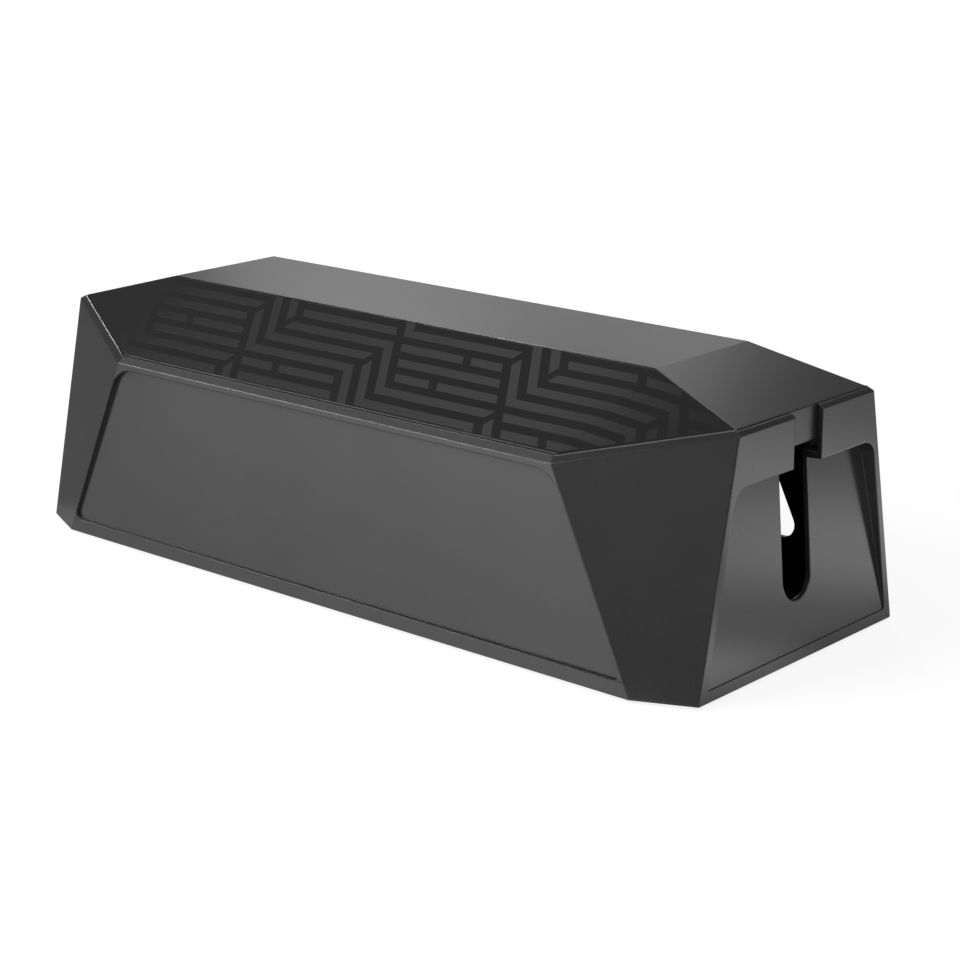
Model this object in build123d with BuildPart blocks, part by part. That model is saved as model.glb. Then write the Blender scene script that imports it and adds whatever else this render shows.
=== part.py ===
from build123d import *
import os

os.makedirs("parts", exist_ok=True)

# A faceted box that hides a power strip and its cables. Millimetres, +Z up. The origin is the
# middle of the footprint on the surface that the feet stand on. X runs along the box, and the
# decorated side of the lid faces -Y.

# Driving dimensions.
foot_drop = 1.5  # the feet reach this far below the walls

half_length = 202.4  # middle to the end faces
half_width = 84.7  # middle to the long faces
wall = 2.4
edge_round = 0.7
fine_round = 0.3

# Corner facets: where they meet the long faces and the end faces.
facet_top_x = 133.9
facet_foot_x = 175.9
facet_top_y = 49.7

# Rim: a bevel from the top of the outer faces up to the seam around the lid.
long_rim_z = 93.8
end_rim_z = 110.4
seam_long_y = 81.5
seam_long_z = 97.3
seam_end_x = 199.8
seam_end_z = 112.1
seam_corner_x = 133.7
seam_corner_y = 48.2

# Lid top.
top_half_length = 147.5
top_half_width = 33.2
top_z = 126.7

# Recessed panels in the four faces. They lean inwards going up.
long_recess_foot_z = 8.5
long_recess_top_z = 91.0
long_recess_foot_depth = 1.7
long_recess_top_depth = 2.5
long_recess_land = 0.4  # the strip left between each side of the recess and the facet beside it
long_recess_foot_round = 3.0
long_recess_top_round = 16.0
end_recess_foot_z = 6.8
end_recess_top_z = 88.0
end_recess_foot_depth = 0.6
end_recess_top_depth = 7.3
end_recess_foot_half = 67.0
end_recess_top_half = 51.0
end_recess_foot_round = 1.2
end_recess_top_round = 9.0

# Ledges over the recesses, on the inside. The lid's long sides stand on the long ones.
long_ledge_z = 93.4
end_ledge_z = 90.9
end_ledge_half = 44.0

# Cable slots in the ends, open at the rim, and the window in the rear wall.
slot_half = 10.4
slot_round_z = 38.5  # middle of the slot's round foot
window_foot_z = 24.0
window_top_z = 72.0
window_foot_half = 148.4
window_top_half = 124.9
window_round = 6.5

# Floor plate, the posts that it is screwed to, and the feet under it.
plate_foot_z = 2.1
plate_thickness = 2.6
plate_gap = 0.4
post_places = [(x, y) for x in (-170, 170) for y in (-71, 71)]
post_places += [(x, y) for x in (-60, 60) for y in (-73, 73)]
post_radius = 4.0
post_height = 11.0
post_rib = 2.0
post_wall_overlap = 3.0  # the ribs end this far inside the outer faces
pilot_radius = 1.5
pilot_depth = 9.0
screw_radius = 1.45
screw_length = 10.0
screw_head_radius = 2.8
screw_head_height = 1.5
screw_hole_radius = 1.7
drive_length = 2.6  # the cross recess in each screw head
drive_width = 0.7
drive_depth = 0.9
foot_x = 155.0
foot_y = 52.0
foot_radius = 8.0
foot_pocket = 1.0
foot_gap = 0.15
foot_chamfer = 0.6

# Lid shell, decor panel and the tape under it.
seam_gap = 0.4
skirt_wall = 2.0
skirt_foot_z = 93.7
end_skirt_foot_z = 96.8
end_skirt_x = 188.0
lid_wall = 2.2
lid_round = 0.5
lid_rib_wall = 1.6
lid_rib_drop = 7.0
lid_rib_places = (-105.0, -35.0, 35.0, 105.0)
panel_thickness = 1.5
panel_gap = 0.15
tape_thickness = 0.25
tape_width = 10.0
tape_half_length = 120.0
tape_strips_up = (9.0, 47.0)  # middles of the long strips, up the slope from the seam
tape_short_length = 22.0

clear_of_all = 20.0  # cutters run past the box by this much
plate_top_z = plate_foot_z + plate_thickness
middle = Vector(0, 0, 60)

# Corner points of the front right corner (+X, -Y). The others mirror them.
rim_at_long = Vector(facet_top_x, -half_width, long_rim_z)
rim_at_end = Vector(half_length, -facet_top_y, end_rim_z)
foot_at_long = Vector(facet_foot_x, -half_width, foot_drop)
seam_at_long = Vector(seam_corner_x, -seam_long_y, seam_long_z)
seam_at_end = Vector(seam_end_x, -seam_corner_y, seam_end_z)
top_corner = Vector(top_half_length, -top_half_width, top_z)
seam_halfway = (seam_at_long + seam_at_end) * 0.5


# Planes.
def at_corner(point, side_x, side_y):
    """A front right point, moved to the corner on the given sides."""
    return Vector(point.X * side_x, -point.Y * side_y, point.Z)


def facing_out(a, b, c):
    """The plane through three points, facing away from the middle of the box."""
    normal = (b - a).cross(c - a).normalized()
    if normal.dot(a - middle) < 0:
        normal = normal * -1
    return Plane(origin=a, z_dir=normal)


def corner_planes(a, b, c, sides_y=(-1, 1)):
    """The plane through three front right points, repeated at other corners."""
    planes = []
    for side_x in (-1, 1):
        for side_y in sides_y:
            planes.append(facing_out(*(at_corner(p, side_x, side_y) for p in (a, b, c))))
    return planes


def long_plane(near, far, side_y):
    """The plane along X through two points' y and z, on one long side."""
    a, b = at_corner(near, 1, side_y), at_corner(far, 1, side_y)
    return facing_out(a, a + Vector(10, 0, 0), b)


def end_plane(near, far, side_x):
    """The plane along Y through two points' x and z, at one end."""
    a, b = at_corner(near, side_x, -1), at_corner(far, side_x, -1)
    return facing_out(a, a + Vector(0, 10, 0), Vector(b.X, a.Y, b.Z))


def facet_edge_x(z):
    """Half the length of a long face between its corner facets, at one height."""
    spread = (facet_foot_x - facet_top_x) / (long_rim_z - foot_drop)
    return facet_top_x + (long_rim_z - z) * spread


def recess_plane(outward, face, foot_z, foot_depth, head_z, head_depth):
    """A recess's floor: x runs along the wall, y up its lean, z out of the box."""
    foot = outward * (face - foot_depth) + Vector(0, 0, foot_z)
    head = outward * (face - head_depth) + Vector(0, 0, head_z)
    along = Vector(0, 0, 1).cross(outward)
    return Plane(origin=foot, x_dir=along, z_dir=along.cross(head - foot))


def straight_edges(axis, z):
    """The current part's straight edges along an axis, at one height."""
    return edges().filter_by(axis).filter_by(lambda edge: abs(edge.center().Z - z) < 0.01)


def below(planes, inset=0.0):
    """Cut the current part off above each plane, moved into the box by the inset."""
    for plane in planes:
        split(bisect_by=plane.offset(-inset), keep=Keep.BOTTOM)


# Outlines.
def rounded_trapezoid(foot_half, head_half, height, foot_round, head_round):
    """A symmetric outline that stands on the sketch's x axis."""
    Polygon((-foot_half, 0), (foot_half, 0), (head_half, height), (-head_half, height), align=None)
    fillet(vertices().group_by(Axis.Y)[-1], radius=head_round)
    fillet(vertices().group_by(Axis.Y)[0], radius=foot_round)


def ring(a, b):
    """The eight-sided plan outline through two front right points and their mirrors."""
    quarter = [(a.X, a.Y), (b.X, b.Y)]
    half = quarter + [(x, -y) for x, y in reversed(quarter)]
    Polygon(*half, *[(-x, y) for x, y in reversed(half)], align=None)


def panel_outline():
    """The plan outline of the front slope and the two corner triangles beside it."""
    right = [(p.X, p.Y) for p in (seam_at_long, seam_at_end, top_corner)]
    Polygon(*right, *[(-x, y) for x, y in reversed(right)], align=None)


facets = corner_planes(rim_at_long, foot_at_long, rim_at_end)
rim_bevels = corner_planes(rim_at_long, rim_at_end, seam_halfway)
rim_bevels += [long_plane(rim_at_long, seam_at_long, side) for side in (-1, 1)]
rim_bevels += [end_plane(rim_at_end, seam_at_end, side) for side in (-1, 1)]

end_slopes = [end_plane(seam_at_end, top_corner, side) for side in (-1, 1)]
front_slopes = corner_planes(seam_at_long, seam_at_end, top_corner, sides_y=(-1,))
front_slopes.append(long_plane(seam_at_long, top_corner, -1))
rear_slopes = corner_planes(seam_at_long, seam_at_end, top_corner, sides_y=(1,))
rear_slopes.append(long_plane(seam_at_long, top_corner, 1))

long_recess = (long_recess_foot_z, long_recess_foot_depth, long_recess_top_z, long_recess_top_depth)
end_recess = (end_recess_foot_z, end_recess_foot_depth, end_recess_top_z, end_recess_top_depth)
long_floors = [recess_plane(Vector(0, side, 0), half_width, *long_recess) for side in (-1, 1)]
end_floors = [recess_plane(Vector(side, 0, 0), half_length, *end_recess) for side in (-1, 1)]

# Base shell.
with BuildPart() as case_hull:
    with BuildSketch(Plane.XY.offset(foot_drop)):
        Rectangle(2 * half_length, 2 * half_width)
    extrude(amount=top_z)
    below(facets + rim_bevels)
    fillet(edges() - edges().group_by(Axis.Z)[-1], radius=edge_round)

with BuildPart() as lower_cavity:
    with BuildSketch(Plane.XY.offset(foot_drop - clear_of_all)):
        Rectangle(2 * half_length, 2 * half_width)
    extrude(amount=long_ledge_z - foot_drop + clear_of_all)
    below(facets + long_floors + end_floors, inset=wall)

with BuildPart() as base_shell:
    add(case_hull.part)
    add(lower_cavity.part, mode=Mode.SUBTRACT)
    # The rim stands around the lid, and a ledge joins it to the recessed walls.
    with BuildSketch(Plane.XY.offset(long_ledge_z)):
        ring(seam_at_long, seam_at_end)
    extrude(amount=top_z, mode=Mode.SUBTRACT)
    with BuildSketch(Plane.XY.offset(end_ledge_z)):
        Rectangle(2 * seam_end_x, 2 * end_ledge_half)
    extrude(amount=long_ledge_z - end_ledge_z, mode=Mode.SUBTRACT)

    for floor in long_floors:
        with BuildSketch(floor):
            rounded_trapezoid(
                facet_edge_x(long_recess_foot_z) - long_recess_land,
                facet_edge_x(long_recess_top_z) - long_recess_land,
                long_recess_top_z - long_recess_foot_z,
                long_recess_foot_round,
                long_recess_top_round,
            )
        extrude(amount=clear_of_all, mode=Mode.SUBTRACT)
    for floor in end_floors:
        with BuildSketch(floor):
            rounded_trapezoid(
                end_recess_foot_half,
                end_recess_top_half,
                end_recess_top_z - end_recess_foot_z,
                end_recess_foot_round,
                end_recess_top_round,
            )
        extrude(amount=clear_of_all, mode=Mode.SUBTRACT)

    # Cable slots: round at the foot, open through the ledge and the rim.
    for side in (-1, 1):
        with BuildSketch(Plane.YZ.offset(side * half_length)):
            with Locations((0, slot_round_z)):
                Circle(slot_half)
                Rectangle(2 * slot_half, top_z, align=(Align.CENTER, Align.MIN))
        extrude(amount=clear_of_all, both=True, mode=Mode.SUBTRACT)

    # Rear window.
    with BuildSketch(Plane.XZ.offset(-half_width)):
        with Locations((0, window_foot_z)):
            rounded_trapezoid(
                window_foot_half,
                window_top_half,
                window_top_z - window_foot_z,
                window_round,
                window_round,
            )
    extrude(amount=clear_of_all, both=True, mode=Mode.SUBTRACT)

    # Screw posts, each tied to the nearest long wall by a rib.
    with BuildSketch(Plane.XY.offset(plate_top_z)):
        for x, y in post_places:
            reach = (half_width - post_wall_overlap) - abs(y)
            side = 1 if y > 0 else -1
            with Locations((x, y)):
                Circle(post_radius)
            with Locations((x, y + side * reach / 2)):
                Rectangle(post_rib, reach)
    extrude(amount=post_height)
    with BuildSketch(Plane.XY.offset(plate_top_z)):
        with Locations(*post_places):
            Circle(pilot_radius)
    extrude(amount=pilot_depth, mode=Mode.SUBTRACT)

    rim_edges = straight_edges(Axis.X, seam_long_z) + straight_edges(Axis.Y, seam_end_z)
    fillet(rim_edges, radius=fine_round)

base_shell.part.label = "base_shell"
export_step(base_shell.part, "parts/base_shell.step")

# Floor plate, screws and feet.
with BuildPart() as plate_room:
    with BuildSketch(Plane.XY.offset(plate_top_z)):
        Rectangle(2 * half_length, 2 * half_width)
    extrude(amount=fine_round)
    below(facets + long_floors + end_floors, inset=wall + plate_gap)
plate_outline = plate_room.faces().sort_by(Axis.Z)[-1]

with BuildPart() as floor_plate:
    with BuildSketch(Plane.XY.offset(plate_foot_z)):
        add(plate_outline.moved(Location((0, 0, -plate_outline.center().Z))))
    extrude(amount=plate_thickness)
    chamfer(edges().group_by(Axis.Z)[0], length=fine_round)
    with BuildSketch(Plane.XY.offset(plate_foot_z)):
        with GridLocations(2 * foot_x, 2 * foot_y, 2, 2):
            Circle(foot_radius + foot_gap)
    extrude(amount=foot_pocket, mode=Mode.SUBTRACT)
    with Locations(Plane.XY.offset(plate_foot_z).rotated((180, 0, 0))):
        with Locations(*post_places):
            CounterSinkHole(screw_hole_radius, screw_head_radius + foot_gap, counter_sink_angle=90)

floor_plate.part.label = "floor_plate"
export_step(floor_plate.part, "parts/floor_plate.step")

with BuildPart() as floor_screws:
    for x, y in post_places:
        with BuildSketch(Plane.XY.offset(plate_foot_z)):
            with Locations((x, y)):
                Circle(screw_radius)
        extrude(amount=screw_length)
        with BuildSketch(Plane.XY.offset(plate_foot_z)):
            with Locations((x, y)):
                Circle(screw_head_radius)
        extrude(amount=screw_head_height, taper=45)
    with BuildSketch(Plane.XY.offset(plate_foot_z)):
        with Locations(*post_places):
            Rectangle(drive_length, drive_width)
            Rectangle(drive_width, drive_length)
    extrude(amount=drive_depth, mode=Mode.SUBTRACT)

floor_screws.part.label = "floor_screws"
export_step(floor_screws.part, "parts/floor_screws.step")

for x_name, x in (("left", -foot_x), ("right", foot_x)):
    for y_name, y in (("front", -foot_y), ("rear", foot_y)):
        with BuildPart() as foot:
            with BuildSketch():
                with Locations((x, y)):
                    Circle(foot_radius)
            extrude(amount=plate_foot_z + foot_pocket)
            chamfer(edges().group_by(Axis.Z)[0], length=foot_chamfer)
        foot.part.label = f"foot_{y_name}_{x_name}"
        export_step(foot.part, f"parts/{foot.part.label}.step")

# Lid.
with BuildPart() as lid_hull:
    with BuildSketch(Plane.XY.offset(skirt_foot_z)):
        ring(seam_at_long, seam_at_end)
        offset(amount=-seam_gap)
    extrude(amount=top_z - skirt_foot_z)
    below(end_slopes + front_slopes + rear_slopes)
    upper = edges().filter_by(lambda edge: edge.bounding_box().min.Z > long_rim_z)
    fillet(upper, radius=lid_round)

with BuildPart() as lid_cavity:
    with BuildSketch(Plane.XY.offset(skirt_foot_z - clear_of_all)):
        ring(seam_at_long, seam_at_end)
        offset(amount=-seam_gap - skirt_wall)
    extrude(amount=top_z - lid_wall - skirt_foot_z + clear_of_all)
    below(end_slopes + rear_slopes, inset=lid_wall)
    below(front_slopes, inset=lid_wall + panel_thickness + tape_thickness)
    for x in lid_rib_places:
        with BuildSketch(Plane.XY.offset(top_z - lid_wall - lid_rib_drop)):
            with Locations((x, 0)):
                Rectangle(lid_rib_wall, 2 * half_width)
        extrude(amount=clear_of_all, mode=Mode.SUBTRACT)

with BuildPart() as under_tape:
    with BuildSketch():
        Rectangle(2 * half_length, 2 * half_width)
    extrude(amount=top_z + clear_of_all)
    below(front_slopes, inset=panel_thickness + tape_thickness)

with BuildPart() as panel_seat:
    with BuildSketch(Plane.XY.offset(skirt_foot_z)):
        panel_outline()
    extrude(amount=top_z)
    add(under_tape.part, mode=Mode.SUBTRACT)

with BuildPart() as lid_shell:
    add(lid_hull.part)
    add(lid_cavity.part, mode=Mode.SUBTRACT)
    add(panel_seat.part, mode=Mode.SUBTRACT)
    with BuildSketch(Plane.XY.offset(skirt_foot_z)):
        with Locations((-half_length, 0), (half_length, 0)):
            Rectangle(2 * (half_length - end_skirt_x), 2 * half_width)
    extrude(amount=end_skirt_foot_z - skirt_foot_z, mode=Mode.SUBTRACT)

lid_shell.part.label = "lid_shell"
export_step(lid_shell.part, "parts/lid_shell.step")

with BuildPart() as under_panel:
    with BuildSketch():
        Rectangle(2 * half_length, 2 * half_width)
    extrude(amount=top_z + clear_of_all)
    below(front_slopes, inset=panel_thickness)

with BuildPart() as lid_panel:
    with BuildSketch(Plane.XY.offset(skirt_foot_z)):
        panel_outline()
        offset(amount=-panel_gap)
    extrude(amount=top_z)
    add(lid_hull.part, mode=Mode.INTERSECT)
    add(under_panel.part, mode=Mode.SUBTRACT)

lid_panel.part.label = "lid_panel"
export_step(lid_panel.part, "parts/lid_panel.step")

with BuildPart() as panel_tape:
    slope = front_slopes[-1]
    bed = Plane(origin=(0, -seam_long_y, seam_long_z), x_dir=(1, 0, 0), z_dir=slope.z_dir)
    with BuildSketch(bed.offset(-panel_thickness - tape_thickness)):
        for up in tape_strips_up:
            with Locations((0, up)):
                Rectangle(2 * tape_half_length, tape_width)
    extrude(amount=tape_thickness)
    for side, slope in zip((-1, 1), front_slopes):
        centre = (seam_at_long + seam_at_end + top_corner) * (1 / 3)
        bed = Plane(origin=at_corner(centre, side, -1), x_dir=(0, 1, 0), z_dir=slope.z_dir)
        with BuildSketch(bed.offset(-panel_thickness - tape_thickness)):
            Rectangle(tape_short_length, tape_width)
        extrude(amount=tape_thickness)

panel_tape.part.label = "panel_tape"
export_step(panel_tape.part, "parts/panel_tape.step")
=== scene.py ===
import math

import bmesh
import bpy
from mathutils import Matrix, Vector, geometry


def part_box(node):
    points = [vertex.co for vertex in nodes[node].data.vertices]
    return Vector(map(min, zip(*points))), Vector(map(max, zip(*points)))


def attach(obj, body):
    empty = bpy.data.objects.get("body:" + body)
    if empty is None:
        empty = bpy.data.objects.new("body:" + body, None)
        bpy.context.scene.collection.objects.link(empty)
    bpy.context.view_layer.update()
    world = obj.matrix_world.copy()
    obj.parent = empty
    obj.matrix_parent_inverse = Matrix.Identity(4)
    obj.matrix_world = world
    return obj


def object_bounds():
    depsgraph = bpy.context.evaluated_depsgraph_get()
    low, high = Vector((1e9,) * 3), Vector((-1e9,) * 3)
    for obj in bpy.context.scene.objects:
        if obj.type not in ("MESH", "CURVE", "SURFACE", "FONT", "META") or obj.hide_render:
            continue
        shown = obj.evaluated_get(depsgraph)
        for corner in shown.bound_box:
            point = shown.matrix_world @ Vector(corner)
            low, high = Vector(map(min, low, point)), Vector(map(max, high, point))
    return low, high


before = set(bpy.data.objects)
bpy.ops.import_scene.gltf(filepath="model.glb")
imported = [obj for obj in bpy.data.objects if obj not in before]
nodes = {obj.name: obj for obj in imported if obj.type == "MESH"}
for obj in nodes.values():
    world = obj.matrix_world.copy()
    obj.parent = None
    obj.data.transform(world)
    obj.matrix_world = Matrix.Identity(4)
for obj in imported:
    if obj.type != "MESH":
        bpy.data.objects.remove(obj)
cadLow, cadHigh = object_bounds()
print("frame loaded:", len(nodes), "nodes")

# Camera

cameraLook = {
    "place": (0.71894, -0.79888, 0.35718),
    "pitchDown": 16.32,
    "turn": 41.10,
    "lens": 88.52,
    "sensor": 36.0,
    "clipStart": 0.05,
    "clipEnd": 60.0,
}


def makeCamera(look):
    data = bpy.data.cameras.new("camera")
    data.sensor_width = look["sensor"]
    data.lens = look["lens"]
    data.clip_start = look["clipStart"]
    data.clip_end = look["clipEnd"]
    camera = bpy.data.objects.new("camera", data)
    bpy.context.scene.collection.objects.link(camera)
    camera.location = look["place"]
    camera.rotation_euler = (math.radians(90 - look["pitchDown"]), 0, math.radians(look["turn"]))
    bpy.context.scene.camera = camera


makeCamera(cameraLook)
bpy.context.scene.view_settings.view_transform = "Standard"
print("camera placed")

# Shader node helpers


def newMaterial(name):
    material = bpy.data.materials.new(name)
    material.use_nodes = True
    tree = material.node_tree
    tree.nodes.clear()
    output = tree.nodes.new("ShaderNodeOutputMaterial")
    shader = tree.nodes.new("ShaderNodeBsdfPrincipled")
    tree.links.new(shader.outputs["BSDF"], output.inputs["Surface"])
    coordinates = tree.nodes.new("ShaderNodeTexCoord")
    return material, tree, shader, coordinates.outputs["Object"]


def setSocket(tree, socket, value):
    # A value is another node's socket, a number or a colour.
    if isinstance(value, bpy.types.NodeSocket):
        tree.links.new(value, socket)
    elif isinstance(value, tuple):
        socket.default_value = (*value, 1.0)
    else:
        socket.default_value = value


def addNoise(tree, vector, scale, detail, roughness=0.55):
    noise = tree.nodes.new("ShaderNodeTexNoise")
    noise.inputs["Scale"].default_value = scale
    noise.inputs["Detail"].default_value = detail
    noise.inputs["Roughness"].default_value = roughness
    tree.links.new(vector, noise.inputs["Vector"])
    return noise.outputs["Fac"]


def addRange(tree, value, fromLow, fromHigh, toLow, toHigh, smooth=False):
    mapping = tree.nodes.new("ShaderNodeMapRange")
    mapping.interpolation_type = "SMOOTHSTEP" if smooth else "LINEAR"
    mapping.inputs["From Min"].default_value = fromLow
    mapping.inputs["From Max"].default_value = fromHigh
    mapping.inputs["To Min"].default_value = toLow
    mapping.inputs["To Max"].default_value = toHigh
    tree.links.new(value, mapping.inputs["Value"])
    return mapping.outputs["Result"]


def addStep(tree, value, ends, smooth=False):
    # 0 at the first end and 1 at the second, which may be the lower one.
    return addRange(tree, value, *ends, 0.0, 1.0, smooth)


def addMath(tree, operation, first, second=None):
    node = tree.nodes.new("ShaderNodeMath")
    node.operation = operation
    setSocket(tree, node.inputs[0], first)
    if second is not None:
        setSocket(tree, node.inputs[1], second)
    return node.outputs["Value"]


def addProduct(tree, *factors):
    product = factors[0]
    for factor in factors[1:]:
        product = addMath(tree, "MULTIPLY", product, factor)
    return product


def addSplit(tree, vector):
    split = tree.nodes.new("ShaderNodeSeparateXYZ")
    tree.links.new(vector, split.inputs["Vector"])
    return split.outputs["X"], split.outputs["Y"], split.outputs["Z"]


def addMix(tree, factor, first, second):
    mix = tree.nodes.new("ShaderNodeMix")
    mix.data_type = "RGBA"
    tree.links.new(factor, mix.inputs["Factor"])
    setSocket(tree, mix.inputs["A"], first)
    setSocket(tree, mix.inputs["B"], second)
    return mix.outputs["Result"]


def addNormalMix(tree, factor, first, second):
    mix = tree.nodes.new("ShaderNodeMix")
    mix.data_type = "VECTOR"
    tree.links.new(factor, mix.inputs["Factor"])
    ends = [socket for socket in mix.inputs if socket.type == "VECTOR" and socket.name in ("A", "B")]
    tree.links.new(first, ends[0])
    tree.links.new(second, ends[1])
    return next(socket for socket in mix.outputs if socket.type == "VECTOR")


def addBump(tree, height, strength, distance, normal):
    bump = tree.nodes.new("ShaderNodeBump")
    bump.inputs["Strength"].default_value = strength
    bump.inputs["Distance"].default_value = distance
    tree.links.new(height, bump.inputs["Height"])
    tree.links.new(normal, bump.inputs["Normal"])
    return bump.outputs["Normal"]


# Soft edges, and the feet of the wall recesses

softEdges = {
    "samples": 6,
    "cornerReach": 1.4,  # how far a point looks for an inner corner, in edge radii
    "openFrom": (0.50, 0.64),
    "endFaces": (0.90, 0.94),
    "sideFaces": (0.94, 0.96),
    "ledgeFaces": (0.60, 0.80),
    "ledgeInset": (0.0164, 0.0124),  # in from the ends of the box
    "ledgeTop": (0.0140, 0.0100),
    "foldTop": (0.0100, 0.0090),
    "grooveInset": (0.0057, 0.0047),  # in from the long sides of the box
    "grooveFoot": (0.0080, 0.0083),
    "grooveTop": (0.0090, 0.0088),
    "grooveShade": 0.5,
}


def addRecessFeet(tree, place, faceNormal, look):
    # How much a point lies on the ledge at the foot of an end recess, in the groove at the foot of a
    # long recess, and in the fold where an end recess runs into the wall under it, and how far its
    # face looks to an end of the box.
    x, y, z = addSplit(tree, place)
    faceX, faceY, faceZ = addSplit(tree, faceNormal)
    x, y, faceX, faceY = [addMath(tree, "ABSOLUTE", value) for value in (x, y, faceX, faceY)]
    ledge = addProduct(
        tree,
        addStep(tree, x, [cadHigh.x - inset for inset in look["ledgeInset"]]),
        addStep(tree, faceZ, look["ledgeFaces"]),
        addStep(tree, z, look["ledgeTop"]),
    )
    inset = [cadHigh.y - inset for inset in look["grooveInset"]]
    groove = addProduct(
        tree,
        addStep(tree, addMath(tree, "MAXIMUM", faceY, faceZ), look["sideFaces"]),
        addStep(tree, z, look["grooveFoot"]),
        addStep(tree, z, look["grooveTop"]),
        addRange(tree, y, *inset, 0.0, look["grooveShade"]),
    )
    fold = addProduct(tree, addStep(tree, faceX, look["endFaces"]), addStep(tree, z, look["foldTop"]))
    return ledge, groove, fold, faceX


def addSoftEdges(tree, place, radius, look=softEdges):
    # The rounded normal of outer edges, how much each point lies on such an edge, how far that edge
    # looks up, how open the point is (1 on a face, 0 in an inner corner), how far its face looks to an
    # end of the box, and whether it is a low ledge there, which counts as open.
    bevel = tree.nodes.new("ShaderNodeBevel")
    bevel.samples = look["samples"]
    bevel.inputs["Radius"].default_value = radius
    faceNormal = tree.nodes.new("ShaderNodeNewGeometry").outputs["True Normal"]
    around = tree.nodes.new("ShaderNodeAmbientOcclusion")
    around.samples = look["samples"]
    around.only_local = True
    around.inputs["Distance"].default_value = radius * look["cornerReach"]
    ledge, groove, fold, endwards = addRecessFeet(tree, place, faceNormal, look)
    isOpen = addMath(tree, "MAXIMUM", addStep(tree, around.outputs["AO"], look["openFrom"]), ledge)
    # The groove and the fold count as shut, so the plastics paint shade into the groove.
    for shut in (groove, fold):
        isOpen = addProduct(tree, isOpen, addMath(tree, "SUBTRACT", 1.0, shut))
    dot = tree.nodes.new("ShaderNodeVectorMath")
    dot.operation = "DOT_PRODUCT"
    tree.links.new(bevel.outputs["Normal"], dot.inputs[0])
    tree.links.new(faceNormal, dot.inputs[1])
    return {
        "normal": addNormalMix(tree, isOpen, faceNormal, bevel.outputs["Normal"]),
        "edge": addProduct(tree, addMath(tree, "SUBTRACT", 1.0, dot.outputs["Value"]), isOpen),
        "up": addSplit(tree, bevel.outputs["Normal"])[2],
        "open": isOpen,
        "endwards": endwards,
        "ledge": ledge,
    }


# Moulded plastic of the case and of the lid

casePlastic = {
    "dark": (0.033, 0.033, 0.0335),
    "light": (0.044, 0.044, 0.0445),
    "cloudScale": 22.0,
    "speckScale": 900.0,
    "noiseDetail": 2.0,
    "speckShare": 0.5,
    "toneSpread": (0.5, 1.0),
    "edgeRadius": 0.0010,
    "edgeColour": (0.10, 0.10, 0.102),
    "edgePaling": 0.30,
    "wornPatches": (0.35, 0.7),
    "wornLeast": 0.5,
    "paleEdgeUp": (-0.2, 0.2),
    "paleEdgeSpan": (0.015, 0.1),
    "rimHighlightColour": (0.30, 0.30, 0.303),
    "rimHighlightShare": 1.0,
    "rimUp": (0.72, 0.85),
    "rimEdge": (0.008, 0.06),
    "paintedCornerShade": (0.006, 0.006, 0.006),
    "shadedCornerGloss": 0.05,
    "gloss": 0.5,
    "underUp": (-0.1, -0.35),
    "underEdge": (0.01, 0.1),
    "underLit": 0.1,
    "endFaces": (0.8, 0.9),
    "paintedLedgeLight": (0.12, 0.12, 0.121),
    "rough": (0.16, 0.21),
    "roughSpread": (0.3, 0.7),
    "edgePolish": 0.1,
    "grainScale": 2600.0,
    "grainStrength": 0.06,
    "grainDepth": 0.00004,
    "ior": 1.70,
}
lidPlastic = dict(
    casePlastic,
    dark=(0.036, 0.036, 0.0365),
    light=(0.047, 0.047, 0.0475),
    rough=(0.28, 0.33),
    grainStrength=0.03,
)


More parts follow.
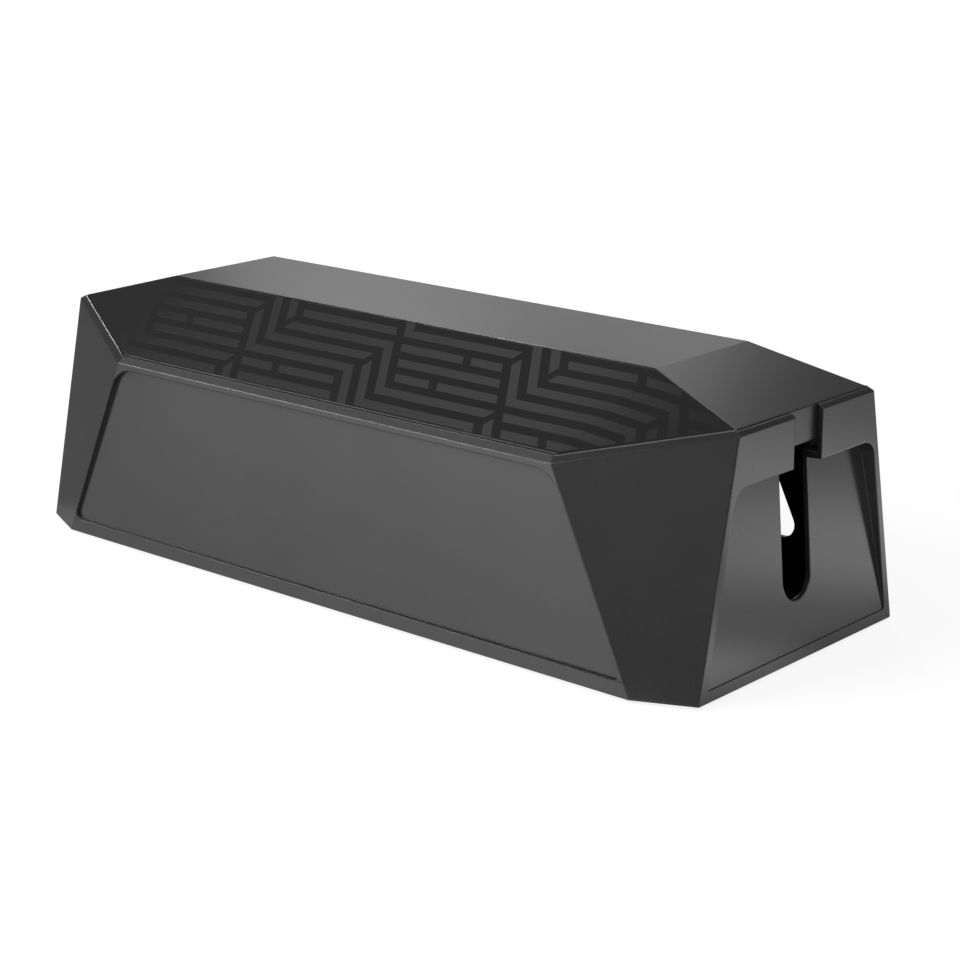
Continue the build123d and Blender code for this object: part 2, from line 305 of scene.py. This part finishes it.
def makeMouldedPlastic(name, look):
    material, tree, shader, place = newMaterial(name)
    cloud = addNoise(tree, place, look["cloudScale"], look["noiseDetail"])
    speck = addNoise(tree, place, look["speckScale"], look["noiseDetail"])
    tone = addMath(tree, "ADD", cloud, addProduct(tree, speck, look["speckShare"]))
    colour = addMix(tree, addStep(tree, tone, look["toneSpread"]), look["dark"], look["light"])
    soft = addSoftEdges(tree, place, look["edgeRadius"])

    # Edges that look up are painted paler, in patches: partly wear and partly a painted highlight where
    # they catch the light, and most of all along the rim.
    patches = addRange(tree, cloud, *look["wornPatches"], look["wornLeast"], 1.0)
    wornAndLitEdge = addProduct(tree, soft["edge"], patches, addStep(tree, soft["up"], look["paleEdgeUp"]))
    # Painted highlight on edges that look almost straight up, most of all along the rim.
    rim = addProduct(tree, wornAndLitEdge, addStep(tree, soft["up"], look["rimUp"]))
    edgePaling = addRange(tree, wornAndLitEdge, *look["paleEdgeSpan"], 0.0, look["edgePaling"])
    rimHighlightShare = addRange(tree, rim, *look["rimEdge"], 0.0, look["rimHighlightShare"])
    colour = addMix(tree, edgePaling, colour, look["edgeColour"])
    colour = addMix(tree, rimHighlightShare, colour, look["rimHighlightColour"])

    # Inner corners, the groove at the foot of the long recesses and edges that look down get painted
    # shade, dark and dull, but not on faces that look endwards.
    paintedUnderShade = addProduct(tree, soft["edge"], addStep(tree, soft["up"], look["underUp"]))
    lit = addProduct(tree, soft["open"], addRange(tree, paintedUnderShade, *look["underEdge"], 1.0, look["underLit"]))
    lit = addMath(tree, "MAXIMUM", lit, addStep(tree, soft["endwards"], look["endFaces"]))
    colour = addMix(tree, lit, look["paintedCornerShade"], colour)
    # Painted light: the ledge at the foot of each end recess is painted pale, so that it shows as light
    # as the wall above it.
    colour = addMix(tree, soft["ledge"], colour, look["paintedLedgeLight"])
    tree.links.new(colour, shader.inputs["Base Color"])
    gloss = addRange(tree, lit, 0.0, 1.0, look["shadedCornerGloss"], look["gloss"])
    tree.links.new(gloss, shader.inputs["Specular IOR Level"])

    rough = addRange(tree, speck, *look["roughSpread"], *look["rough"])
    rough = addMath(tree, "SUBTRACT", rough, addProduct(tree, edgePaling, look["edgePolish"]))
    tree.links.new(rough, shader.inputs["Roughness"])
    grain = addNoise(tree, place, look["grainScale"], look["noiseDetail"])
    normal = addBump(tree, grain, look["grainStrength"], look["grainDepth"], soft["normal"])
    tree.links.new(normal, shader.inputs["Normal"])
    shader.inputs["IOR"].default_value = look["ior"]
    return material


caseMaterial = makeMouldedPlastic("case_plastic", casePlastic)
lidMaterial = makeMouldedPlastic("lid_plastic", lidPlastic)

# Gloss of the decor panel

panelGloss = {
    "dark": (0.022, 0.022, 0.0225),
    "light": (0.029, 0.029, 0.0295),
    "smearScale": 14.0,
    "smearDetail": 4.0,
    "smearRoughness": 0.6,
    "edgeRadius": 0.0005,
    "edgeColour": (0.07, 0.07, 0.075),
    "edgePaling": 0.4,
    "paleEdgeSpan": (0.02, 0.2),
    "rough": (0.10, 0.20),
    "roughSpread": (0.3, 0.7),
    "rippleScale": 120.0,
    "rippleDetail": 2.0,
    "rippleStrength": 0.05,
    "rippleDepth": 0.00005,
}


def makePanelGloss(name, look):
    material, tree, shader, place = newMaterial(name)
    smear = addNoise(tree, place, look["smearScale"], look["smearDetail"], look["smearRoughness"])
    soft = addSoftEdges(tree, place, look["edgeRadius"])
    edgePaling = addRange(tree, soft["edge"], *look["paleEdgeSpan"], 0.0, look["edgePaling"])
    colour = addMix(tree, smear, look["dark"], look["light"])
    tree.links.new(addMix(tree, edgePaling, colour, look["edgeColour"]), shader.inputs["Base Color"])
    rough = addRange(tree, smear, *look["roughSpread"], *look["rough"])
    tree.links.new(rough, shader.inputs["Roughness"])
    ripple = addNoise(tree, place, look["rippleScale"], look["rippleDetail"])
    normal = addBump(tree, ripple, look["rippleStrength"], look["rippleDepth"], soft["normal"])
    tree.links.new(normal, shader.inputs["Normal"])
    return material


panelMaterial = makePanelGloss("panel_gloss", panelGloss)

# Print on the decor panel

panelPrint = {
    "tone": (0.073, 0.073, 0.074),
    "shadedLeftTone": (0.040, 0.040, 0.041),
    "shadedOutTone": (0.025, 0.025, 0.0255),
    "toneRise": (-0.13, 0.08),
    "leftFade": (-0.112, -0.158),
    "rightFade": (0.105, 0.205),
    "roughness": 0.18,
    "fadedRoughness": 0.15,
    "mottleScale": 700.0,
    "mottleDetail": 2.0,
    "mottleSpread": (0.3, 0.7),
    "mottle": 0.06,
    "longSide": 0.064,
    "shortSide": 0.031,
    "slant": 60.0,
    "bars": 3,
    "barWidth": 0.0045,
    "endGap": 0.0040,
    "cuts": (0.0, 0.38, 0.0, 0.66, 0.0, 0.24, 0.52),
    "shift": (0.012, -0.010),
    "repeats": 6,
    "keepAlong": 0.28,
    "keepUp": (-0.09, 0.08),
    "mergeWithin": 0.0001,
    "edgeMargin": 0.0006,
    "thickness": 0.00004,
    "upFaces": 0.6,
    "frontFaces": -0.2,
    "turnedFaces": 0.02,
}


def makePrintInk(name, look):
    material, tree, shader, place = newMaterial(name)
    along = addSplit(tree, place)[0]
    # The print is painted darker towards the left and painted fading out over both end triangles: painted
    # shade for how the light falls on those faces. The mottle is the ink's own.
    left = addStep(tree, along, look["leftFade"], smooth=True)
    right = addStep(tree, along, look["rightFade"], smooth=True)
    mottle = addNoise(tree, place, look["mottleScale"], look["mottleDetail"])
    mottle = addRange(tree, mottle, *look["mottleSpread"], -look["mottle"], look["mottle"])
    shadeAndMottle = addMath(tree, "ADD", addMath(tree, "MAXIMUM", left, right), mottle)
    tone = addMix(tree, addStep(tree, along, look["toneRise"]), look["shadedLeftTone"], look["tone"])
    tree.links.new(addMix(tree, shadeAndMottle, tone, look["shadedOutTone"]), shader.inputs["Base Color"])
    rough = addRange(tree, shadeAndMottle, 0.0, 1.0, look["roughness"], look["fadedRoughness"])
    tree.links.new(rough, shader.inputs["Roughness"])
    return material


printMaterial = makePrintInk("panel_print", panelPrint)


def outerPlane(node, side, look):
    # The largest flat face of the panel that looks up and forwards: side is -1, 0 or 1 along X.
    best = None
    for polygon in node.data.polygons:
        n = polygon.normal
        turned = 0 if abs(n.x) < look["turnedFaces"] else (1 if n.x > 0 else -1)
        if n.z > look["upFaces"] and n.y < look["frontFaces"] and turned == side:
            if best is None or polygon.area > best.area:
                best = polygon
    return best.center.copy(), best.normal.copy()


def planeHeight(plane, x, y):
    point, normal = plane
    return point.z - (normal.x * (x - point.x) + normal.y * (y - point.y)) / normal.z


def addBar(mesh, corner, along, across):
    # One bar of the pattern: a square carried to the parallelogram on two vectors.
    centre = corner + (along + across) / 2
    carry = Matrix((
        (along.x, across.x, 0, centre.x),
        (along.y, across.y, 0, centre.y),
        (0, 0, 1, 0),
        (0, 0, 0, 1),
    ))
    bmesh.ops.create_grid(mesh, x_segments=1, y_segments=1, size=0.5, matrix=carry)


def addBlock(mesh, corner, along, stack, look, gaps, cutAt=0):
    # Parallel bars along one side of a parallelogram, stacked up its other side. gaps holds, for
    # each bar, how many half gaps it leaves at its start and at its end. Some bars are cut in two.
    tilt = abs(along.normalized().cross(stack.normalized()))
    wide = stack.normalized() * (look["barWidth"] / tilt)
    gap = along.normalized() * (look["endGap"] / tilt)
    for i in range(look["bars"]):
        start = corner + stack * ((i + 0.5) / look["bars"]) - wide / 2 + gap * (gaps[i][0] / 2)
        stop = start + along - gap * ((gaps[i][0] + gaps[i][1]) / 2)
        cut = look["cuts"][(cutAt + i) % len(look["cuts"])] if cutAt else 0.0
        if cut:
            halfway = start.lerp(stop, cut)
            addBar(mesh, start, halfway - gap / 2 - start, wide)
            start = halfway + gap / 2
        addBar(mesh, start, stop - start, wide)


def printBars(mesh, look):
    # Long bars that step down through short slanted ones, between blocks of long bars.
    slant = math.radians(look["slant"])
    a = Vector((look["longSide"], 0.0))
    b = Vector((math.cos(slant), math.sin(slant))) * look["shortSide"]
    c = Vector((-math.cos(slant), math.sin(slant))) * look["shortSide"]
    lowest, highest = look["keepUp"]
    repeats = range(-look["repeats"], look["repeats"] + 1)
    for i in repeats:
        for j in repeats:
            corner = (a + b) * i + (b + c) * j + Vector(look["shift"])
            if abs(corner.x) > look["keepAlong"] or not lowest < corner.y < highest:
                continue
            turns = [(k + i + 2 * j) % look["bars"] for k in range(look["bars"])]
            parted = [(2 if turn == 0 else 0, 2 if turn == 1 else 0) for turn in turns]
            cutAt = 1 + (2 * i + 3 * j) % len(look["cuts"])
            addBlock(mesh, corner, a, b, look, [(0, 0)] * look["bars"])
            addBlock(mesh, corner, c, b, look, parted)
            addBlock(mesh, corner + b, a, c, look, [(1, 1)] * look["bars"], cutAt)


def insetPlanes(outline, margin):
    # An upright plane inside each side of a plan outline, as a point and an outward direction.
    corners = [outline[k] for k in geometry.convex_hull_2d(outline)]
    middle = sum(corners, Vector((0, 0))) / len(corners)
    for first, second in zip(corners, corners[1:] + corners[:1]):
        side = second - first
        outwards = Vector((side.y, -side.x, 0)).normalized()
        if outwards.xy.dot(first - middle) < 0:
            outwards = -outwards
        yield first.to_3d() - outwards * margin, outwards


def creasePlane(slope, corner, step=0.01):
    # The upright plane through the line where two leaning planes meet, found over one step across it.
    along = slope[1].cross(corner[1])
    upright = Vector((along.y, -along.x, 0)).normalized()
    here = Vector((*corner[0].xy, 0))
    ahead = here + upright * step
    drop, dropAhead = (
        planeHeight(slope, at.x, at.y) - planeHeight(corner, at.x, at.y) for at in (here, ahead)
    )
    return here + upright * (step * drop / (drop - dropAhead)), upright


def cutMesh(mesh, point, direction, keepsOuter):
    everything = mesh.verts[:] + mesh.edges[:] + mesh.faces[:]
    bmesh.ops.bisect_plane(
        mesh, geom=everything, plane_co=point, plane_no=direction, clear_outer=not keepsOuter
    )


def makePanelPrint(look):
    node = nodes["lid_panel"]
    left, slope, right = (outerPlane(node, side, look) for side in (-1, 0, 1))
    lean = slope[1].z / math.hypot(slope[1].y, slope[1].z)  # plan depth of one unit up the slope
    mesh = bmesh.new()
    printBars(mesh, look)
    bmesh.ops.remove_doubles(mesh, verts=mesh.verts[:], dist=look["mergeWithin"])
    for vertex in mesh.verts:
        vertex.co.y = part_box("lid_panel")[0].y + vertex.co.y * lean
    outline = [vertex.co.xy.copy() for vertex in node.data.vertices]
    for point, outwards in insetPlanes(outline, look["edgeMargin"]):
        cutMesh(mesh, point, outwards, keepsOuter=False)
    for corner in (left, right):
        cutMesh(mesh, *creasePlane(slope, corner), keepsOuter=True)

    # The bars follow the panel's three planes, from one thickness under them to one over them.
    for vertex in mesh.verts:
        heights = [planeHeight(plane, vertex.co.x, vertex.co.y) for plane in (left, slope, right)]
        vertex.co.z = min(heights) - look["thickness"]
    bmesh.ops.recalc_face_normals(mesh, faces=mesh.faces[:])
    bmesh.ops.reverse_faces(mesh, faces=[face for face in mesh.faces if face.normal.z < 0])
    top = bmesh.ops.extrude_face_region(mesh, geom=mesh.faces[:])
    raised = [e for e in top["geom"] if isinstance(e, bmesh.types.BMVert)]
    bmesh.ops.translate(mesh, verts=raised, vec=slope[1] * (2 * look["thickness"]))
    bmesh.ops.recalc_face_normals(mesh, faces=mesh.faces[:])
    data = bpy.data.meshes.new("panel_print")
    mesh.to_mesh(data)
    mesh.free()
    piece = bpy.data.objects.new("panel_print", data)
    bpy.context.scene.collection.objects.link(piece)
    data.materials.append(printMaterial)
    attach(piece, "lid")


makePanelPrint(panelPrint)
print("panel print made")

# Rubber of the feet

footRubber = {
    "dark": (0.018, 0.018, 0.018),
    "light": (0.04, 0.039, 0.038),
    "dustScale": 260.0,
    "dustDetail": 4.0,
    "dustRoughness": 0.65,
    "dustSpread": (0.35, 0.75),
    "edgeRadius": 0.0005,
    "edgeColour": (0.09, 0.088, 0.085),
    "edgePaling": 0.4,
    "paleEdgeSpan": (0.02, 0.25),
    "rough": (0.7, 0.9),
    "roughSpread": (0.3, 0.7),
    "pitScale": 1800.0,
    "pitDetail": 3.0,
    "pitStrength": 0.4,
    "pitDepth": 0.00008,
}


def makeRubber(name, look):
    material, tree, shader, place = newMaterial(name)
    dust = addNoise(tree, place, look["dustScale"], look["dustDetail"], look["dustRoughness"])
    soft = addSoftEdges(tree, place, look["edgeRadius"])
    colour = addMix(tree, addStep(tree, dust, look["dustSpread"]), look["dark"], look["light"])
    edgePaling = addRange(tree, soft["edge"], *look["paleEdgeSpan"], 0.0, look["edgePaling"])
    tree.links.new(addMix(tree, edgePaling, colour, look["edgeColour"]), shader.inputs["Base Color"])
    rough = addRange(tree, dust, *look["roughSpread"], *look["rough"])
    tree.links.new(rough, shader.inputs["Roughness"])
    pits = addNoise(tree, place, look["pitScale"], look["pitDetail"])
    normal = addBump(tree, pits, look["pitStrength"], look["pitDepth"], soft["normal"])
    tree.links.new(normal, shader.inputs["Normal"])
    return material


# Zinc-plated steel of the floor screws

screwSteel = {
    "dark": (0.42, 0.42, 0.43),
    "light": (0.62, 0.61, 0.58),
    "patchScale": 600.0,
    "patchDetail": 3.0,
    "edgeRadius": 0.0003,
    "rough": (0.28, 0.45),
    "roughSpread": (0.3, 0.7),
    "scratchScale": 3000.0,
    "scratchDetail": 2.0,
    "scratchStrength": 0.2,
    "scratchDepth": 0.00003,
}


def makeZincSteel(name, look):
    material, tree, shader, place = newMaterial(name)
    patch = addNoise(tree, place, look["patchScale"], look["patchDetail"])
    soft = addSoftEdges(tree, place, look["edgeRadius"])
    tree.links.new(addMix(tree, patch, look["dark"], look["light"]), shader.inputs["Base Color"])
    rough = addRange(tree, patch, *look["roughSpread"], *look["rough"])
    tree.links.new(rough, shader.inputs["Roughness"])
    shader.inputs["Metallic"].default_value = 1.0
    scratch = addNoise(tree, place, look["scratchScale"], look["scratchDetail"])
    normal = addBump(tree, scratch, look["scratchStrength"], look["scratchDepth"], soft["normal"])
    tree.links.new(normal, shader.inputs["Normal"])
    return material


# Tape under the decor panel

tapeFilm = {
    "dark": (0.62, 0.60, 0.55),
    "light": (0.78, 0.77, 0.73),
    "fibreScale": 900.0,
    "fibreDetail": 3.0,
    "rough": (0.5, 0.65),
    "roughSpread": (0.3, 0.7),
}


def makeTapeFilm(name, look):
    material, tree, shader, place = newMaterial(name)
    fibre = addNoise(tree, place, look["fibreScale"], look["fibreDetail"])
    tree.links.new(addMix(tree, fibre, look["dark"], look["light"]), shader.inputs["Base Color"])
    rough = addRange(tree, fibre, *look["roughSpread"], *look["rough"])
    tree.links.new(rough, shader.inputs["Roughness"])
    return material


rubberMaterial = makeRubber("foot_rubber", footRubber)
steelMaterial = makeZincSteel("screw_steel", screwSteel)
tapeMaterial = makeTapeFilm("tape_film", tapeFilm)

finishes = {
    "base_shell": caseMaterial,
    "floor_plate": caseMaterial,
    "floor_screws": steelMaterial,
    "foot_front_left": rubberMaterial,
    "foot_front_right": rubberMaterial,
    "foot_rear_left": rubberMaterial,
    "foot_rear_right": rubberMaterial,
    "lid_shell": lidMaterial,
    "lid_panel": panelMaterial,
    "panel_tape": tapeMaterial,
}
for name, material in finishes.items():
    data = nodes[name].data
    data.materials.clear()
    data.materials.append(material)
print("materials given to", len(finishes), "nodes")

# Studio world and floor

studio = {
    "worldLight": 0.12,
    "floorHalf": 14.0,
    "floorTone": 0.34,
    "floorSeen": (0.86, 1.0),
    "seenRise": (0.4, 2.2),
    "floorMirrored": 0.86,
    "leftFade": (-0.20, -0.08),
    "cornerPlace": (0.2, -0.07),
    "cornerTurns": (254, 345),
    "cornerFade": (-0.06, 0.05),
    "frontFade": (-0.12, -0.34),
    "frontGlow": 0.75,
    "alongFade": (-0.12, 0.25),
    "alongGlow": (0.72, 1.30),
    "backFade": (0.37, 0.25),
    "backGlow": 0.54,
    "endGlow": 1.35,
    "dipFades": ((0.045, -0.02), (0.07, 0.18)),
    "dipGlow": 0.46,
    "nearFade": (0.0, 0.03),
    "nearGlow": 0.48,
    "nearFront": 30.0,  # how much thinner the near strip is along the front than along the ends
}


def makeWorld(look):
    world = bpy.data.worlds.new("studio")
    bpy.context.scene.world = world
    world.use_nodes = True
    tree = world.node_tree
    tree.nodes.clear()
    output = tree.nodes.new("ShaderNodeOutputWorld")
    light = tree.nodes.new("ShaderNodeBackground")
    light.inputs["Color"].default_value = (1, 1, 1, 1)
    light.inputs["Strength"].default_value = look["worldLight"]
    seen = tree.nodes.new("ShaderNodeBackground")
    seen.inputs["Color"].default_value = (1, 1, 1, 1)
    seen.inputs["Strength"].default_value = 1.0
    path = tree.nodes.new("ShaderNodeLightPath")
    mix = tree.nodes.new("ShaderNodeMixShader")
    tree.links.new(path.outputs["Is Camera Ray"], mix.inputs["Fac"])
    tree.links.new(light.outputs["Background"], mix.inputs[1])
    tree.links.new(seen.outputs["Background"], mix.inputs[2])
    tree.links.new(mix.outputs["Shader"], output.inputs["Surface"])


def addCornerEdge(tree, x, y, turn, side, look):
    # A soft edge along a ray from the corner place: bright on one side of it and dark on the other.
    turn = math.radians(turn)
    cornerX, cornerY = look["cornerPlace"]
    away = addProduct(tree, addMath(tree, "SUBTRACT", x, cornerX), -side * math.sin(turn))
    aside = addProduct(tree, addMath(tree, "SUBTRACT", y, cornerY), side * math.cos(turn))
    return addStep(tree, addMath(tree, "ADD", away, aside), look["cornerFade"], smooth=True)


def addMirroredGlow(tree, place, look):
    # Gloss mirrors a bright floor in front and beyond the right end. That floor is dark at the back
    # left, in a wedge before the right corner and in a dip beside the end, and close under the walls
    # it is dimmed by a painted shadow of the box.
    x, y = addSplit(tree, place)[:2]
    diagonal = addMath(tree, "SUBTRACT", x, y)
    left = addStep(tree, diagonal, look["leftFade"], smooth=True)
    front, end = (
        addCornerEdge(tree, x, y, turn, side, look) for turn, side in zip(look["cornerTurns"], (-1, 1))
    )
    front = addProduct(
        tree,
        front,
        addRange(tree, y, *look["frontFade"], look["frontGlow"], 1.0),
        addRange(tree, diagonal, *look["alongFade"], *look["alongGlow"]),
    )
    dip = [addRange(tree, y, *ends, look["dipGlow"], 1.0, smooth=True) for ends in look["dipFades"]]
    end = addProduct(
        tree,
        end,
        addRange(tree, y, *look["backFade"], look["backGlow"], look["endGlow"]),
        addMath(tree, "MAXIMUM", *dip),
    )
    # Painted shadow of the box on the glow, close under its walls.
    pastEnd = addMath(tree, "SUBTRACT", addMath(tree, "ABSOLUTE", x), cadHigh.x)
    pastFront = addProduct(tree, addMath(tree, "SUBTRACT", cadLow.y, y), look["nearFront"])
    past = addMath(tree, "MAXIMUM", pastEnd, pastFront)
    near = addRange(tree, past, *look["nearFade"], look["nearGlow"], 1.0)
    return addProduct(tree, left, addMath(tree, "MAXIMUM", front, end), near, look["floorMirrored"])


def makeFloorWhite(name, look):
    # White to the camera and in gloss, but a plain mid tone to the light that falls on it.
    material = bpy.data.materials.new(name)
    material.use_nodes = True
    tree = material.node_tree
    tree.nodes.clear()
    output = tree.nodes.new("ShaderNodeOutputMaterial")
    matte = tree.nodes.new("ShaderNodeBsdfDiffuse")
    matte.inputs["Color"].default_value = (look["floorTone"],) * 3 + (1,)
    glow = tree.nodes.new("ShaderNodeEmission")
    path = tree.nodes.new("ShaderNodeLightPath")
    place = tree.nodes.new("ShaderNodeTexCoord").outputs["Object"]
    reach = tree.nodes.new("ShaderNodeVectorMath")
    reach.operation = "LENGTH"
    tree.links.new(place, reach.inputs[0])
    seen = addRange(tree, reach.outputs["Value"], *look["seenRise"], *look["floorSeen"], smooth=True)
    seen = addProduct(tree, path.outputs["Is Camera Ray"], seen)
    mirrored = addProduct(tree, path.outputs["Is Glossy Ray"], addMirroredGlow(tree, place, look))
    tree.links.new(addMath(tree, "ADD", seen, mirrored), glow.inputs["Strength"])
    both = tree.nodes.new("ShaderNodeAddShader")
    tree.links.new(matte.outputs["BSDF"], both.inputs[0])
    tree.links.new(glow.outputs["Emission"], both.inputs[1])
    tree.links.new(both.outputs["Shader"], output.inputs["Surface"])
    return material


def makeFloor(look):
    mesh = bmesh.new()
    bmesh.ops.create_grid(mesh, x_segments=1, y_segments=1, size=look["floorHalf"])
    bmesh.ops.translate(mesh, verts=mesh.verts[:], vec=(0, 0, cadLow.z))
    data = bpy.data.meshes.new("floor")
    mesh.to_mesh(data)
    mesh.free()
    floor = bpy.data.objects.new("floor", data)
    bpy.context.scene.collection.objects.link(floor)
    data.materials.append(makeFloorWhite("floor_white", look))


# Studio softboxes: each one's turn about the object from +X, height angle, distance, size and power.

softboxes = {
    "backSlope": {"turn": 116, "rise": 34, "distance": 1.5, "wide": 0.35, "deep": 0.45, "power": 0.75},
    "backLow": {"turn": 130, "rise": 12, "distance": 1.8, "wide": 0.7, "deep": 0.4, "power": 0.55},
    "backEdge": {"turn": 136, "rise": 32, "distance": 1.6, "wide": 0.22, "deep": 0.22, "power": 1.2},
    "frontLine": {"turn": 226, "rise": 14, "distance": 2.2, "wide": 0.8, "deep": 0.2, "power": 9.0},
    "frontLeftHigh": {"turn": 215, "rise": 45, "distance": 2.0, "wide": 1.2, "deep": 1.2, "power": 2.2},
    "frontHigh": {"turn": 250, "rise": 36, "distance": 2.0, "wide": 0.8, "deep": 0.8, "power": 12.0},
    "frontCard": {"turn": 279, "rise": 7, "distance": 2.2, "wide": 1.1, "deep": 0.55, "power": 0.44},
    "nearView": {"turn": 318, "rise": 48, "distance": 2.0, "wide": 1.0, "deep": 1.0, "power": 6.0},
}


def makeSoftbox(name, look):
    data = bpy.data.lights.new(name, "AREA")
    data.shape = "RECTANGLE"
    data.size = look["wide"]
    data.size_y = look["deep"]
    data.energy = look["power"]
    lamp = bpy.data.objects.new(name, data)
    bpy.context.scene.collection.objects.link(lamp)
    turn, rise = math.radians(look["turn"]), math.radians(look["rise"])
    outwards = Vector((math.cos(turn) * math.cos(rise), math.sin(turn) * math.cos(rise), math.sin(rise)))
    middle = (cadLow + cadHigh) / 2
    lamp.location = middle + outwards * look["distance"]
    lamp.rotation_euler = (-outwards).to_track_quat("-Z", "Y").to_euler()


makeWorld(studio)
makeFloor(studio)
for name, look in softboxes.items():
    makeSoftbox(name, look)
print("studio lit with", len(softboxes), "softboxes")
